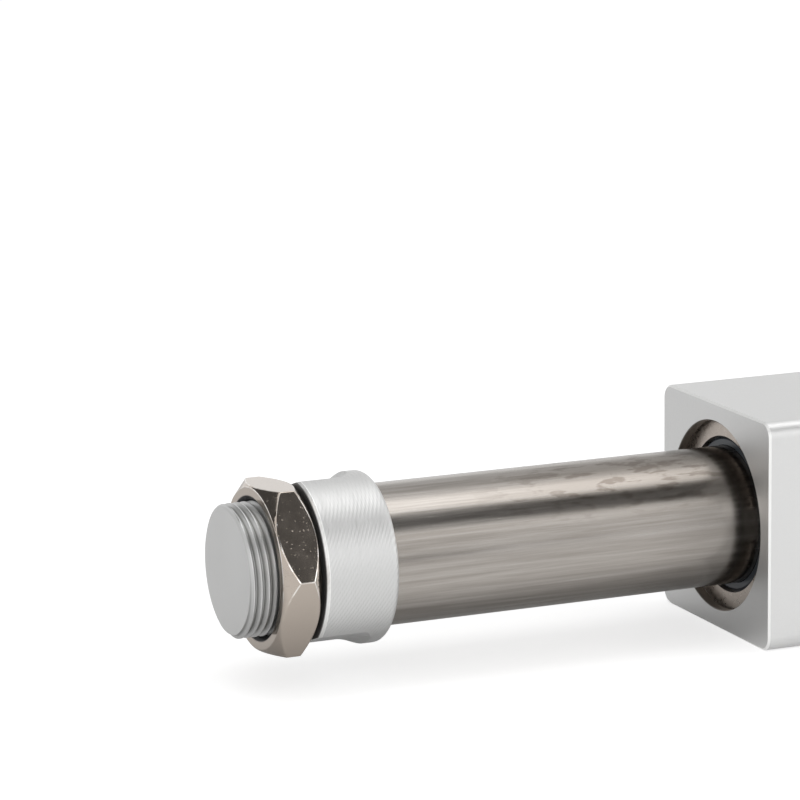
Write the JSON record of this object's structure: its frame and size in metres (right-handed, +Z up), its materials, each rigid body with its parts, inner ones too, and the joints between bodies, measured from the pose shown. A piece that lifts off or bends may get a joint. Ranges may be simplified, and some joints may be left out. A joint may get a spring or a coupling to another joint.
{
  "type": "rodless pneumatic cylinder",
  "caption": "Magnetically coupled rodless pneumatic cylinder: a square slider rides a round tube between head covers with threaded bosses, mounting nuts and air ports.",
  "frame": {"origin": "middle of the cylinder's axis, halfway between the two threaded ends", "axes": "+X along the cylinder's axis, +Y out of the slider's back face with the tapped holes, +Z up"},
  "size_m": [0.289, 0.046, 0.046],
  "materials": {
    "stainless_tube": "drawn and brushed lengthwise",
    "turned_aluminium": "fine turned",
    "nickel_plated_steel": "bright nickel plate",
    "satin_aluminium": "satin, clear anodised",
    "spring_steel": "plain",
    "black_rubber": "moulded",
    "urethane": "moulded",
    "wear_resin": "turned resin",
    "felt": "oiled felt",
    "plain_aluminium": "turned",
    "magnet": "sintered, plated",
    "yoke_steel": "turned",
    "shaft_steel": "ground"
  },
  "bodies": {
    "barrel": {"bumper_left": "urethane", "bumper_right": "urethane", "cylinder_tube": "stainless_tube", "head_cover_left": "turned_aluminium", "head_cover_right": "turned_aluminium", "mounting_nut_left": "nickel_plated_steel", "mounting_nut_right": "nickel_plated_steel", "snap_ring_left": "spring_steel", "snap_ring_right": "spring_steel", "tube_gasket_left": "black_rubber", "tube_gasket_right": "black_rubber"},
    "slider": {"lube_ring_left": "felt", "lube_ring_right": "felt", "outer_magnet_1": "magnet", "outer_magnet_2": "magnet", "outer_magnet_3": "magnet", "outer_magnet_4": "magnet", "outer_yoke_1": "yoke_steel", "outer_yoke_2": "yoke_steel", "outer_yoke_3": "yoke_steel", "outer_yoke_4": "yoke_steel", "outer_yoke_5": "yoke_steel", "retaining_ring_left": "spring_steel", "retaining_ring_right": "spring_steel", "scraper_left": "black_rubber", "scraper_right": "black_rubber", "side_ring_left": "plain_aluminium", "side_ring_right": "plain_aluminium", "slider_body": "satin_aluminium", "slider_wear_ring_left": "wear_resin", "slider_wear_ring_right": "wear_resin"},
    "piston": {"inner_magnet_1": "magnet", "inner_magnet_2": "magnet", "inner_magnet_3": "magnet", "inner_magnet_4": "magnet", "inner_yoke_1": "yoke_steel", "inner_yoke_2": "yoke_steel", "inner_yoke_3": "yoke_steel", "inner_yoke_4": "yoke_steel", "inner_yoke_5": "yoke_steel", "piston_left": "plain_aluminium", "piston_nut_left": "shaft_steel", "piston_nut_right": "shaft_steel", "piston_right": "plain_aluminium", "piston_seal_left": "black_rubber", "piston_seal_right": "black_rubber", "piston_shaft": "shaft_steel", "piston_wear_ring_left": "wear_resin", "piston_wear_ring_right": "wear_resin"}
  },
  "joints": [
    {"name": "slider_slide", "type": "slide", "parent": "barrel", "child": "slider", "axis": [1, 0, 0], "range_m": [-0.07, 0.08]},
    {"name": "piston_slide", "type": "slide", "parent": "barrel", "child": "piston", "axis": [1, 0, 0], "range_m": [-0.07, 0.08]}
  ],
  "couplings": [
    {"joint": "piston_slide", "follows": "slider_slide", "ratio": 1}
  ]
}
